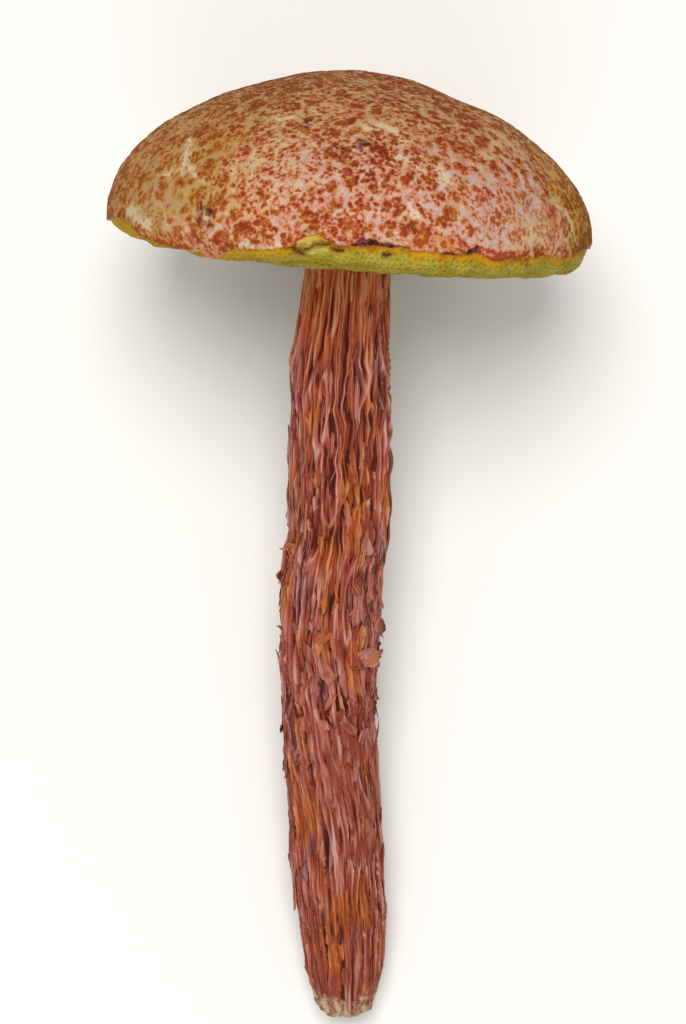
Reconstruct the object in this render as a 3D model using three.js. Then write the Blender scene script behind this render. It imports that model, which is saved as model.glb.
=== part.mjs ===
// A shaggy-stalked bolete as picked: a domed cap, the pore layer under it and a long fibrous stem.
// It is built standing up, then laid down on a surface. It rests on two lobes of the cap's rim and
// on the stem's base. Millimetres, +Z up, origin at the middle of the bounding box's base.
import * as THREE from 'three';

// --- driving dimensions of the upright bolete, in millimetres and degrees -------------------------
const CAP_RADIUS = 50;          // from the cap's axis to the rim
const DOME_HEIGHT = 33.2;       // from the rim plane to the crown
const DOME_SWELL = 0.915;       // exponents of the dome's curve: height and radius
const DOME_SLIMNESS = 1.25;
const CAP_TILT = 4.2;           // the cap leans towards +X
const RIM_HEIGHT = 165.4;       // rim plane above the stem's tip, on the cap's axis
const CAP_OFFSET = 1.2;         // the cap's axis from the frame's axis, along X
const LIP_INSET = 1.2;          // how far the skin's lower edge turns in from the rim
const LIP_THICKNESS = 0.9;
const SHORTEST_LIP = 0.15;      // the skin hangs at least this far below the rim plane
const FLESH_CEILING = 3.2;      // underside of the cap's flesh above the rim plane, in the middle
const FLESH_EDGE = 1.8;         // the same, near the rim
const TUBE_DEPTH = 5.3;         // lowest ring of the pores under the rim plane
const BAND_DEPTH = 4.9;         // the same, where the band under the skin's edge ends
const BAND_WIDTH = 5.2;         // how far the band rounds in from the rim
const TUBE_COLLAR = 1.2;        // how far the pores hang down round the stem
const GAP = 0.35;               // clearance between neighbouring pieces
const STEM_TOP_RADIUS = 8.7;    // where the stem meets the cap's flesh
const RIDGE_HEIGHT = 0.35;      // the stem's lengthwise ridges
const REST_LOBE = 0.8;          // the two rim lobes that the lying cap rests on
const REST_LOBE_ANGLES = [76, 104];

// --- how fine the facets are ---------------------------------------------------------------------
const CAP_SEGMENTS = 72;
const DOME_STEPS = 20;
const STEM_SEGMENTS = 48;
const STEM_STEPS = 38;
const BAND_STEPS = 5;

// Stem's middle line and radius from tip to top: height, sideways offset along X, radius.
const STEM_STATIONS = [
  [0, 0.4, 6.2], [9, 0.2, 8.4], [22, -0.5, 9.3], [35, -1.5, 9.9], [54, -3.0, 9.9], [72, -3.1, 10.1],
  [90, -2.8, 10.1], [107, -1.2, 9.7], [122, -0.9, 9.7], [137, -0.8, 9.8], [153, 0.6, 8.9],
  [RIM_HEIGHT + FLESH_CEILING - GAP, 1.6, STEM_TOP_RADIUS],
];

// Rings that round the tip off: share of the tip's radius, drop below the first station.
const TIP_ROUNDING = [[0, 1.9], [0.45, 1.6], [0.8, 0.8]];

const radians = THREE.MathUtils.degToRad;

// A smooth hump of height 1 at an angle, in degrees, with the given half-width.
function hump(angle, centre, width) {
  const away = THREE.MathUtils.euclideanModulo(angle - centre + 180, 360) - 180;
  return Math.exp(-((away / width) ** 2));
}

// Rim radius round the cap: nearly round, slightly wavy, with the two lobes that it rests on.
function rimRadius(angle) {
  const waves = 0.25 * Math.cos(radians(3 * angle + 40)) + 0.15 * Math.cos(radians(7 * angle));
  const lobes = REST_LOBE_ANGLES.reduce((sum, at) => sum + hump(angle, at, 9), 0);
  return CAP_RADIUS + waves + REST_LOBE * lobes;
}

// How far the skin hangs below the rim plane. It hangs in a flap at the front left, is short along
// the rest of the front and moderate at the back.
function lipLength(angle) {
  const flap = 3.3 * hump(angle, 233, 13) + 1.5 * hump(angle, 247, 7);
  const back = 1.4 * hump(angle, 90, 60);
  const waves = 0.12 * Math.sin(radians(5 * angle + 60)) + 0.08 * Math.sin(radians(9 * angle));
  return Math.max(SHORTEST_LIP, 0.2 + flap + back + waves);
}

// Underside of the cap's flesh above the rim plane, at a distance from the axis.
function fleshCeiling(radius) {
  return THREE.MathUtils.lerp(FLESH_CEILING, FLESH_EDGE, THREE.MathUtils.smoothstep(radius, 20, 45));
}

// Turns a lathe about its Y axis into one about Z, and puts each of its points where place says.
// place gets the index of the point along the profile and the angle round the axis in degrees.
function shapedLathe(profileLength, segments, place) {
  const blank = Array.from({ length: profileLength }, () => new THREE.Vector2(1, 0));
  const geometry = new THREE.LatheGeometry(blank, segments);
  const position = geometry.attributes.position;
  for (let slice = 0; slice <= segments; slice += 1) {
    const angle = (360 * (slice % segments)) / segments;
    for (let step = 0; step < profileLength; step += 1) {
      const point = place(step, angle);
      position.setXYZ(slice * profileLength + step, point.x, point.y, point.z);
    }
  }
  geometry.computeVertexNormals();
  return geometry;
}

function aroundAxis(radius, height, angle) {
  return new THREE.Vector3(radius * Math.cos(radians(angle)), radius * Math.sin(radians(angle)), height);
}

// --- cap: underside first, then the lip, then over the dome ---------------------------------------
function capProfile(angle) {
  const rim = rimRadius(angle);
  const lip = lipLength(angle);
  const profile = [0, 14, 28, 40].map((radius) => [radius, fleshCeiling(radius)]);
  profile.push([rim - LIP_INSET - LIP_THICKNESS - 1.2, FLESH_EDGE]);
  profile.push([rim - LIP_INSET - LIP_THICKNESS - 0.3, 0.4]);
  profile.push([rim - LIP_INSET - LIP_THICKNESS, -lip + 0.35]);
  profile.push([rim - LIP_INSET, -lip], [rim - 0.35, -0.5 * lip]);
  for (let step = 0; step <= DOME_STEPS; step += 1) {
    const turn = (Math.PI / 2) * (1 - step / DOME_STEPS);
    const radius = step === DOME_STEPS ? 0 : rim * Math.sin(turn) ** DOME_SLIMNESS;
    profile.push([radius, DOME_HEIGHT * Math.max(0, Math.cos(turn)) ** DOME_SWELL]);
  }
  return profile;
}

function capGeometry() {
  const length = capProfile(0).length;
  return shapedLathe(length, CAP_SEGMENTS, (step, angle) => {
    const [radius, height] = capProfile(angle)[step];
    return aroundAxis(radius, height, angle);
  });
}

// --- pore layer: a ring round the stem, with a rounded band showing under the skin's edge ----------
function poreLayerProfile(angle) {
  const rim = rimRadius(angle);
  const bandTop = -lipLength(angle) - GAP;
  const bandBottom = Math.min(-BAND_DEPTH + 1.2 * hump(angle, 205, 45), bandTop - 0.5);
  const hole = STEM_TOP_RADIUS + GAP + 0.1;
  const under = rim - LIP_INSET - LIP_THICKNESS - GAP;
  const profile = [
    [hole, fleshCeiling(hole) - GAP], [hole, -TUBE_COLLAR + 0.6], [hole + 1.5, -TUBE_COLLAR],
    [16, -3.4], [24, -TUBE_DEPTH + 0.2], [33, -TUBE_DEPTH], [40, -TUBE_DEPTH + 0.1],
  ];
  for (let step = 0; step <= BAND_STEPS; step += 1) {
    const turn = (Math.PI / 2) * (step / BAND_STEPS);
    const radius = rim - 0.8 - BAND_WIDTH * (1 - Math.sin(turn));
    profile.push([radius, THREE.MathUtils.lerp(bandTop, bandBottom, Math.cos(turn))]);
  }
  profile.push([under + 0.15, bandTop], [under, bandTop + 0.7], [under - 0.2, 0.1]);
  profile.push([under - 1.0, FLESH_EDGE - GAP - 0.15], [40, fleshCeiling(40) - GAP - 0.1]);
  profile.push([28, fleshCeiling(28) - GAP], [hole, fleshCeiling(hole) - GAP]);
  return profile;
}

function poreLayerGeometry() {
  const length = poreLayerProfile(0).length;
  return shapedLathe(length, CAP_SEGMENTS, (step, angle) => {
    const [radius, height] = poreLayerProfile(angle)[step];
    return aroundAxis(radius, height, angle);
  });
}

// --- stem: a bent, slightly swollen stalk with lengthwise ridges and a rounded tip -----------------
const stemLine = new THREE.CatmullRomCurve3(
  STEM_STATIONS.map(([height, sideways, radius]) => new THREE.Vector3(sideways, radius, height)),
  false, 'centripetal');

// Lengthwise ridges that wind round the stem and fade out at both ends.
function ridges(angle, height) {
  const twist = 0.35 * height;
  const fadeIn = THREE.MathUtils.smoothstep(height, 0, 15);
  const fadeOut = THREE.MathUtils.smoothstep(RIM_HEIGHT - 8 - height, 0, 10);
  const narrow = Math.cos(radians(8 * (angle + twist)));
  const wide = 0.6 * Math.cos(radians(5 * (angle - 0.5 * twist) + 70));
  return RIDGE_HEIGHT * fadeIn * fadeOut * (narrow + wide);
}

// The stem's rings turn with the cap over its last stretch, so that its end meets the tilted flesh.
function stemPoint(radius, height, angle, sideways) {
  const point = aroundAxis(radius, height, angle);
  const share = THREE.MathUtils.smoothstep(height, RIM_HEIGHT - 14, RIM_HEIGHT);
  point.z -= share * Math.tan(radians(CAP_TILT)) * point.x;
  point.x += sideways;
  return point;
}

function stemGeometry() {
  const length = TIP_ROUNDING.length + STEM_STEPS + 2;
  return shapedLathe(length, STEM_SEGMENTS, (step, angle) => {
    if (step < TIP_ROUNDING.length) {
      const [share, drop] = TIP_ROUNDING[step];
      const [, sideways, radius] = STEM_STATIONS[0];
      return stemPoint(share * radius, -drop, angle, sideways);
    }
    const along = Math.min(1, (step - TIP_ROUNDING.length) / STEM_STEPS);
    const { x: sideways, y: radius, z: height } = stemLine.getPoint(along);
    const middleOfTop = step === length - 1;
    return stemPoint(middleOfTop ? 0 : radius + ridges(angle, height), height, angle, sideways);
  });
}

// --- materials -----------------------------------------------------------------------------------
const finishes = {
  cap: new THREE.MeshStandardMaterial({ color: 0xb0704a, roughness: 0.85, metalness: 0 }),
  pore_layer: new THREE.MeshStandardMaterial({ color: 0xa89b34, roughness: 0.9, metalness: 0 }),
  stem: new THREE.MeshStandardMaterial({ color: 0x96503c, roughness: 0.9, metalness: 0 }),
};

function piece(name, geometry) {
  const mesh = new THREE.Mesh(geometry, finishes[name]);
  mesh.name = name;
  return mesh;
}

// --- assembly: upright, with the tilted cap on the stem --------------------------------------------
const head = new THREE.Group();
head.add(piece('cap', capGeometry()), piece('pore_layer', poreLayerGeometry()));
head.position.set(CAP_OFFSET, 0, RIM_HEIGHT);
head.rotation.y = radians(CAP_TILT);

const upright = new THREE.Group();
upright.add(head, piece('stem', stemGeometry()));

// --- lying down: turned until both rim lobes and the stem's base touch the surface -----------------
function worldPoints(root, name) {
  root.updateMatrixWorld(true);
  const mesh = root.getObjectByName(name);
  const position = mesh.geometry.attributes.position;
  return Array.from({ length: position.count }, (_, index) => (
    new THREE.Vector3().fromBufferAttribute(position, index).applyMatrix4(mesh.matrixWorld)));
}

function lowest(points) {
  return Math.min(...points.map((point) => point.z));
}

// Finds where a rising function crosses zero.
function crossing(low, high, rising) {
  for (let round = 0; round < 40; round += 1) {
    const middle = (low + high) / 2;
    if (rising(middle) > 0) {
      high = middle;
    } else {
      low = middle;
    }
  }
  return (low + high) / 2;
}

const turned = new THREE.Group();   // rolls the upright bolete about its own axis
turned.add(upright);
const bolete = new THREE.Group();   // leans it over and puts it in place
bolete.add(turned);

function layDown(roll, lean) {
  turned.rotation.z = radians(roll);
  bolete.rotation.x = radians(lean - 90);
}

function leanThatRests(roll) {
  return crossing(5, 40, (lean) => {
    layDown(roll, lean);
    return lowest(worldPoints(bolete, 'cap')) - lowest(worldPoints(bolete, 'stem'));
  });
}

function lobeImbalance(roll) {
  layDown(roll, leanThatRests(roll));
  const rim = worldPoints(bolete, 'cap');
  const left = lowest(rim.filter((point) => point.x < 0));
  const right = lowest(rim.filter((point) => point.x >= 0));
  return left - right;
}

const restRoll = crossing(-8, 8, lobeImbalance);
layDown(restRoll, leanThatRests(restRoll));
bolete.updateMatrixWorld(true);
const box = new THREE.Box3().setFromObject(bolete, true);
const middle = box.getCenter(new THREE.Vector3());
bolete.position.set(-middle.x, -middle.y, -box.min.z);
bolete.updateMatrixWorld(true);

export default bolete;
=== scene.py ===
"""The looks of a shaggy-stalked bolete, picked and laid on a pale surface.

Each part is grown upright in millimetres, in the shape of its CAD node. Then it is laid down
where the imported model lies, and scaled to metres. Angles are in degrees round the stem: 270 is
the side that faces the viewer, 180 the left and 0 the right.
"""
import math
import random

import bpy
import numpy as np
from mathutils import Matrix, Vector
from mathutils.geometry import delaunay_2d_cdt


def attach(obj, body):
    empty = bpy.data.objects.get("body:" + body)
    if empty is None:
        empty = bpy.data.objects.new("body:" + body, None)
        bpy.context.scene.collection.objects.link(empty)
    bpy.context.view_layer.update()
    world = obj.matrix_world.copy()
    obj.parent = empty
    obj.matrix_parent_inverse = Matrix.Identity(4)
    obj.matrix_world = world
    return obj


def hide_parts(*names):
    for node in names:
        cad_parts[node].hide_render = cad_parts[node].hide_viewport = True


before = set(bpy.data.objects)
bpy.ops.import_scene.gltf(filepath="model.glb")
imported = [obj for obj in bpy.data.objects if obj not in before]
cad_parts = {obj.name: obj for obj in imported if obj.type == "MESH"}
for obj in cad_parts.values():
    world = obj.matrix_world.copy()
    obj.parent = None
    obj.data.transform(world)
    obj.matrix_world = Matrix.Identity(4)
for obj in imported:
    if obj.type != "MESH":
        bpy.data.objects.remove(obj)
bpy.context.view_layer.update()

# --- how the picked bolete lies, in millimetres and degrees, as in the CAD -------------------------
MM = 0.001
LEAN = 14.914                      # the stem's rise from the surface
ROLL = 0.168                       # turn about the stem
PLACE = Vector((-1.562, -95.722, 6.042))
CAP_OFFSET = 1.2                   # how far to the right of the stem the cap sits
CAP_TILT = 4.2                     # how far the cap leans to the right
RIM_HEIGHT = 165.4                 # of the cap's rim, up the stem

# --- cap -------------------------------------------------------------------------------------------
CAP_RADIUS = 50.0
DOME_HEIGHT = 33.2
DOME_SWELL = 0.915                 # powers that round the dome off: of its height
DOME_SLIMNESS = 1.25               # and of its radius
SKIN_CURL = 0.09                   # how fast the skin turns in below the rim plane
RIM_TUCK = 0.9                     # how far the rim is drawn in at the right end
SHOULDER_DIP = 1.1                 # a shallow hollow at the right shoulder
SHOULDER_AT = 21                   # and how far it is to the right of the middle
CAP_GRID = 300                     # squares along each side of the sheet that becomes the skin
REST_LOBE = 0.8                    # the two low lobes of the rim that the cap rests on
REST_LOBE_ANGLES = (76, 104)
PATCH_SIZE = 4.6                   # the skin cracks into patches, and the patches into fragments
FRAGMENT_SIZE = 1.02
SCALE_RISE = 0.13                  # how far a scale stands off the pale ground
SCALE_LEVEL = 0.508                # how far from a fragment's middle a scale still reaches
FLAP_ANGLE = 225                   # the bare margin's rusty lip
NOTCH_ANGLE = 229.3                # a fold in the lip
LUMP_ANGLE = 236.8                 # a salmon lump that hangs off the flap
ROLL_ANGLE = 306                   # a rusty roll of skin on the right
UNDERCUT = ((0.45, -0.08), (0.55, 0.35), (1.6, 1.3))     # steps inward and up, under the skin's edge
# How far the skin hangs below the rim plane round the cap: pairs of angle and drop.
SKIN_DROPS = (
    (15, 0.3), (60, 0.8), (95, 1.4), (140, 1.0), (180, 0.7), (190, 0.4), (197, -0.6), (203, -1.1),
    (209, -0.8), (212.5, 0.8), (216, 2.2), (220, 2.5), (222.5, 3.2), (227, 3.6), (231, 3.7), (234, 3.9),
    (239, 3.9), (241.5, 3.0), (244, 2.7), (248, 2.5), (252, 2.2), (255, 1.6), (258, 0.9), (260, -0.3),
    (262, -1.3), (264.5, -1.1), (266.5, -0.1), (270, 0.0), (276, -0.1), (281, -0.1), (285, 0.3),
    (289, 0.5), (293, 0.6), (296, 0.2), (299, -0.1), (302, 0.8), (305, 1.2), (308, 0.9), (311, 0.1),
    (315.5, 0.5), (319, -0.3), (324, 0.2), (328, 0.5), (334, -0.5), (341, -1.2), (347, -1.9),
    (353, -1.2),
)
# Height of the pore surface's lower edge round the cap, where it isn't at the full depth.
BAND_EDGES = (
    (150, -4.9), (175, -3.0), (185, -1.4), (190, -1.9), (194, -2.6), (203, -3.4), (212, -2.9),
    (220, -3.0), (226, -3.7), (233, -4.1), (239, -4.2), (245, -4.5), (260, -4.5), (270, -4.7),
    (281, -5.1), (298, -5.2), (315, -4.7), (326, -4.5), (338, -4.3), (345, -3.6), (353, -2.6),
    (5, -3.4), (20, -4.9),
)

# --- pore layer ------------------------------------------------------------------------------------
TUBE_DEPTH = 5.3                   # how far the pores hang below the rim plane
SHALLOW_BY = 1.4                   # how much less they do at one angle
SHALLOW_ANGLE = 206
TUBE_COLLAR = 1.2                  # and how far they hang beside the stem
BAND_WIDTH = 5.2                   # how much further in the band's lower edge is than its upper one
HOLE_RADIUS = 9.2
PORE_SPACING = 1.24
PORE_PIT = 0.9                     # depth of a pore
BAND_SHARE = 0.86                  # past this share of the profile the tubes are seen from the side
CREASE = ((256, -1.6), (260, -1.2), (265.5, 0.0))        # where the band is torn: angle and height
# Strokes on the band: strength, width, then a path of angles and heights.
STAINS = (
    (0.9, 0.5, *CREASE),
    (1.2, 0.7, (257.5, -1.7), (260, -2.1)),
    (1.2, 0.7, (266, -1.0), (268.5, -1.4)),
    (1.2, 0.7, (277.5, -1.2), (279, -1.3)),
    (0.6, 0.45, (313.5, -1.2), (315, -2.4)),
    (0.6, 0.35, (299, -3.9), (300, -3.9)),
)
PALE_TEARS = (
    (1, 0.9, (258, -0.2), (264, 0.6)),
    (1, 0.8, (259.5, -2.2), (264, -1.4)),
)

# --- stem ------------------------------------------------------------------------------------------
# Height, sideways offset and radius of the stem's core from tip to top.
STEM_STATIONS = (
    (-1.9, 0.4, 0.2), (-1.6, 0.4, 2.8), (-0.8, 0.4, 4.9), (0, 0.4, 5.9), (9, 0.3, 8.0), (22, -0.5, 8.9),
    (35, -1.4, 9.3), (54, -2.8, 9.4), (72, -3.1, 9.5), (90, -2.7, 9.5), (104, -0.9, 9.2),
    (122, -0.8, 9.2), (137, -0.8, 9.3), (153, 0.6, 8.2), (166.5, 1.4, 7.7),
)
STEM_AROUND = 280
STEM_RINGS = 350
STEM_GIRTH = 60.0                  # once round the stem, in millimetres
FOOT_HEIGHT = 30                   # below this the stem is a mesh of its own
FOOT_SHREDS_HEIGHT = 42            # and the shreds that are rooted below this are too
TWIST_RATE = 0.75                  # degrees by which fibres turn per millimetre where they slant
SLANT = (34, 48, 72, 86)           # heights where the slant begins, is full, gets less and ends
LEANING_TOP = 14                   # over this length the stem's rings begin to lean with the cap
# Patches of another colour on the stem: angle, height, half-width and half-length.
AMBER_PATCHES = (
    (235, 128, 1.8, 3.5), (256, 145, 0.8, 4.3), (272, 144, 0.8, 6.6), (284, 116, 1.6, 3.5),
    (327, 115, 1.2, 2.5), (286, 106, 1.4, 6.8), (273, 100, 1.2, 3.7), (274, 91, 1.2, 4.1),
    (236, 81, 1.4, 4.5), (262, 81, 2.0, 2.7), (298, 75, 1.6, 5.1), (242, 70, 1.4, 4.1),
    (314, 44, 3.1, 7.6), (326, 56, 1.4, 3.1), (245, 32, 1.6, 4.1), (282, 22, 3.1, 5.1),
)
MAUVE_PATCHES = (
    (207, 137, 1.4, 7.6), (327, 134, 1.4, 7.8), (293, 138, 1.2, 7.8), (220, 120, 2.5, 4.1),
    (222, 101, 1.6, 3.7), (192, 94, 1.0, 4.3), (328, 103, 2.0, 2.9), (334, 99, 1.0, 2.0),
    (234, 92, 2.5, 5.1), (305, 88, 2.7, 6.6), (189, 77, 1.4, 3.1), (270, 76, 2.3, 3.1),
    (264, 72, 1.8, 2.9), (207, 69, 1.4, 4.1), (215, 62, 1.6, 7.2), (308, 53, 1.2, 1.6),
    (263, 40, 1.0, 3.1), (229, 34, 1.8, 3.5),
)
BACK_TURN = 168                    # the stem's back repeats the front's patches, turned by this much


# --- working by hand: selection, edit mode, coordinates --------------------------------------------
def deselect():
    if bpy.context.object and bpy.context.object.mode != "OBJECT":
        bpy.ops.object.mode_set(mode="OBJECT")
    for thing in bpy.context.selected_objects:
        thing.select_set(False)


def take(piece):
    deselect()
    piece.select_set(True)
    bpy.context.view_layer.objects.active = piece


def points_of(piece):
    flat = np.empty(len(piece.data.vertices) * 3)
    piece.data.vertices.foreach_get("co", flat)
    return flat.reshape(-1, 3)


def middles_of(piece):
    """The middle of each face."""
    flat = np.empty(len(piece.data.polygons) * 3)
    piece.data.polygons.foreach_get("center", flat)
    return flat.reshape(-1, 3)


def move_points(piece, points):
    piece.data.vertices.foreach_set("co", np.asarray(points, float).ravel())
    piece.data.update()


def new_piece(points, faces):
    mesh = bpy.data.meshes.new("piece")
    mesh.from_pydata(points, [], faces)
    piece = bpy.data.objects.new("piece", mesh)
    bpy.context.collection.objects.link(piece)
    return piece


def remember(piece, name, values):
    """Keeps a number or a vector for each point of the mesh, for the materials to read."""
    values = np.asarray(values, float)
    kind, field = ("FLOAT_VECTOR", "vector") if values.ndim == 2 else ("FLOAT", "value")
    layer = piece.data.attributes.get(name) or piece.data.attributes.new(name, kind, "POINT")
    layer.data.foreach_set(field, values.ravel())


def apply_modifier(piece, kind, **settings):
    take(piece)
    modifier = piece.modifiers.new(kind.title(), kind)
    for name, value in settings.items():
        setattr(modifier, name, value)
    bpy.ops.object.modifier_apply(modifier=modifier.name)


def edit(piece):
    """Opens a piece for editing by hand, with all of it selected."""
    take(piece)
    bpy.ops.object.mode_set(mode="EDIT")
    bpy.ops.mesh.select_all(action="SELECT")


def edit_faces(piece, chosen):
    """Opens a piece for editing by hand, with only the chosen faces selected."""
    take(piece)
    bpy.ops.object.mode_set(mode="EDIT")
    bpy.ops.mesh.select_mode(type="FACE")
    bpy.ops.mesh.select_all(action="DESELECT")
    bpy.ops.object.mode_set(mode="OBJECT")
    piece.data.polygons.foreach_set("select", chosen)
    bpy.ops.object.mode_set(mode="EDIT")


def close_piece():
    """Points all faces of the piece outwards and ends its editing."""
    bpy.ops.mesh.select_all(action="SELECT")
    bpy.ops.mesh.normals_make_consistent(inside=False)
    bpy.ops.object.mode_set(mode="OBJECT")


def fill_ends(piece):
    """Fills every open edge loop."""
    edit(piece)
    bpy.ops.mesh.region_to_loop()
    bpy.ops.mesh.edge_face_add()
    close_piece()


def smooth(low, high, value):
    share = np.clip((value - low) / (high - low), 0, 1)
    return share * share * (3 - 2 * share)


def hump(angle, centre, width):
    """A smooth rise to 1 at an angle in degrees, with the given half-width."""
    away = (angle - centre + 180) % 360 - 180
    return np.exp(-(away / width) ** 2)


def ripple(angle, low, high, seed):
    """An uneven wave round the axis, made of the whole numbers of cycles from low to high."""
    chance = np.random.default_rng(seed)
    cycles = np.arange(low, high + 1)
    phase = chance.uniform(0, 2 * math.pi, len(cycles))
    weight = chance.uniform(0.4, 1, len(cycles))
    total = sum(w * np.cos(np.radians(angle) * k + p) for k, p, w in zip(cycles, phase, weight))
    return total / math.sqrt(len(cycles))


def round_rim(angle, places):
    """A value that passes softly through pairs of angle and value, all the way round."""
    degrees = np.arange(-180, 541)
    at, value = np.array(places, float).T
    whole = np.interp(degrees, np.concatenate((at - 360, at, at + 360)), np.tile(value, 3))
    kernel = np.hanning(7) / np.hanning(7).sum()
    return np.interp(np.asarray(angle) % 360, degrees, np.convolve(whole, kernel, mode="same"))


def swell(points, size, seed):
    """Soft unevenness through space, from a few crossing waves."""
    chance = np.random.default_rng(seed)
    total = np.zeros(len(points))
    for _ in range(9):
        direction = chance.normal(size=3)
        direction *= 2 * math.pi / (np.linalg.norm(direction) * size * chance.uniform(0.7, 1.5))
        total += np.cos(points @ direction + chance.uniform(0, 6))
    return total / 4


def near_path(points, path, width):
    """1 along a path of points, falling softly to 0 at about the given width from it."""
    points = points + 0.5 * width * np.column_stack([swell(points, 3.0, seed) for seed in (71, 72, 73)])
    nearest = np.full(len(points), 1e9)
    for start, end in zip(path[:-1], path[1:]):
        along = end - start
        share = np.clip((points - start) @ along / max(along @ along, 1e-9), 0, 1)
        nearest = np.minimum(nearest, np.linalg.norm(points - start - share[:, None] * along, axis=1))
    return smooth(1.4, 0.2, nearest / width)


def strokes(points, place, rows):
    """The strongest of some strokes at each point. A row is a strength, a width and the path's places."""
    values = [strength * near_path(points, place(*path), width) for strength, width, *path in rows]
    return np.max(values, axis=0)


# --- node building, shared by the relief (geometry nodes) and the materials (shader nodes) ---------
def paint(code):
    """A colour from its hex code, as the linear values that nodes take."""
    channels = [int(code[i:i + 2], 16) / 255 for i in (0, 2, 4)]
    return tuple(c / 12.92 if c <= 0.04045 else ((c + 0.055) / 1.055) ** 2.4 for c in channels) + (1.0,)


class Nodes:
    """Adds nodes to a tree and joins them. Inputs are sockets or plain values."""

    def __init__(self, tree):
        self.tree = tree

    def add(self, kind, inputs=(), **settings):
        node = self.tree.nodes.new(kind)
        for name, value in settings.items():
            setattr(node, name, value)
        for name, value in dict(inputs).items():
            self.feed(node.inputs[name], value)
        return node

    def feed(self, socket, value):
        if isinstance(value, bpy.types.NodeSocket):
            self.tree.links.new(value, socket)
        else:
            socket.default_value = value

    def field(self, name, vector=False):
        """What remember() kept on the mesh under this name."""
        if self.tree.bl_idname == "GeometryNodeTree":
            kind = "FLOAT_VECTOR" if vector else "FLOAT"
            return self.add("GeometryNodeInputNamedAttribute", {"Name": name}, data_type=kind).outputs[0]
        node = self.add("ShaderNodeAttribute", attribute_name=name)
        return node.outputs["Vector" if vector else "Fac"]

    def math(self, operation, first, second=0.0):
        return self.add("ShaderNodeMath", {0: first, 1: second}, operation=operation).outputs[0]

    def times(self, first, second):
        return self.math("MULTIPLY", first, second)

    def sum(self, *terms):
        """Adds numbers, where a pair stands for a number times a factor."""
        total = None
        for term in terms:
            if isinstance(term, tuple):
                term = self.times(*term)
            total = term if total is None else self.math("ADD", total, term)
        return total

    def scaled(self, vector, factors):
        return self.add("ShaderNodeVectorMath", {0: vector, 1: factors}, operation="MULTIPLY").outputs[0]

    def shifted(self, vector, offset):
        return self.add("ShaderNodeVectorMath", {0: vector, 1: offset}, operation="ADD").outputs[0]

    def noise(self, vector, size, detail=2.0, roughness=0.5, output=0):
        """Soft noise from about 0.3 to 0.7, with blobs of about the given size."""
        inputs = {"Vector": vector, "Scale": 1 / size, "Detail": detail, "Roughness": roughness}
        return self.add("ShaderNodeTexNoise", inputs).outputs[output]

    def uneven(self, *how):
        """The same noise, from about -0.2 to 0.2."""
        return self.math("SUBTRACT", self.noise(*how), 0.5)

    def cells(self, vector, size, feature="DISTANCE_TO_EDGE"):
        """Distance from the edge or the middle of irregular cells of the given size."""
        inputs = {"Vector": vector, "Scale": 1 / size}
        if feature == "SMOOTH_F1":
            inputs["Smoothness"] = 0.3
        return self.add("ShaderNodeTexVoronoi", inputs, feature=feature).outputs[0]

    def step(self, value, low, high, start=0.0, end=1.0):
        """A smooth change from start to end as the value goes from low to high."""
        inputs = {0: value, 1: low, 2: high, 3: start, 4: end}
        return self.add("ShaderNodeMapRange", inputs, interpolation_type="SMOOTHSTEP").outputs[0]

    def mix(self, share, first, second):
        node = self.add("ShaderNodeMix", data_type="RGBA")
        for index, value in ((0, share), (6, first), (7, second)):
            self.feed(node.inputs[index], paint(value) if isinstance(value, str) else value)
        return node.outputs[2]

    def coats(self, colour, *coats):
        """Paints coats over a colour one after the other. A coat is its share and its colour."""
        for share, coat in coats:
            colour = self.mix(share, colour, coat)
        return colour

    def warped(self, vector, size, amount):
        """The vector moved about by noise, by up to about the given amount."""
        drift = self.shifted(self.noise(vector, size, output=1), (-0.5, -0.5, -0.5))
        return self.shifted(vector, self.scaled(drift, (4 * amount,) * 3))


def new_material(name):
    material = bpy.data.materials.new(name)
    material.use_nodes = True
    return material, Nodes(material.node_tree), material.node_tree.nodes["Principled BSDF"]


def finish_material(nodes, shader, colour, roughness, gloss, relief, strength, depth):
    """Joins up the colour, the dullness and the fine relief of a material."""
    bump = nodes.add("ShaderNodeBump", {"Height": relief, "Strength": strength, "Distance": depth})
    for name, value in (("Base Color", colour), ("Roughness", roughness),
                        ("Specular IOR Level", gloss), ("Normal", bump.outputs[0])):
        nodes.feed(shader.inputs[name], value)


def new_group(name):
    """A geometry nodes tree with its input's and output's geometry sockets."""
    tree = bpy.data.node_groups.new(name, "GeometryNodeTree")
    tree.interface.new_socket("Geometry", in_out="INPUT", socket_type="NodeSocketGeometry")
    tree.interface.new_socket("Geometry", in_out="OUTPUT", socket_type="NodeSocketGeometry")
    nodes = Nodes(tree)
    return nodes, nodes.add("NodeGroupInput").outputs[0], nodes.add("NodeGroupOutput").inputs[0]


# --- laying down -----------------------------------------------------------------------------------
STEM_LIES = (
    Matrix.Scale(MM, 4) @ Matrix.Translation(PLACE)
    @ Matrix.Rotation(math.radians(LEAN - 90), 4, "X") @ Matrix.Rotation(math.radians(ROLL), 4, "Z")
)
HEAD_TILT = Matrix.Rotation(math.radians(CAP_TILT), 4, "Y")
HEAD_LIES = STEM_LIES @ Matrix.Translation((CAP_OFFSET, 0, RIM_HEIGHT)) @ HEAD_TILT


def lay_down(piece, matrix):
    """Turns the upright part over onto the surface. What would reach through it is pressed flat."""
    piece.data.transform(matrix)
    points = points_of(piece)
    points[:, 2] = np.maximum(points[:, 2], 0)
    move_points(piece, points)


def finish_piece(piece, name, slot, material, *nodes):
    """Names a piece, gives it its material, shades it smooth, hangs it on the root body and hides the parts
    of the model that it stands for.
    """
    piece.name = name
    piece.data.name = name
    piece.data.materials.clear()
    piece.data.materials.append(material)
    take(piece)
    bpy.ops.object.shade_smooth()
    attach(piece, "root")
    if nodes:
        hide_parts(*nodes)


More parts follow.
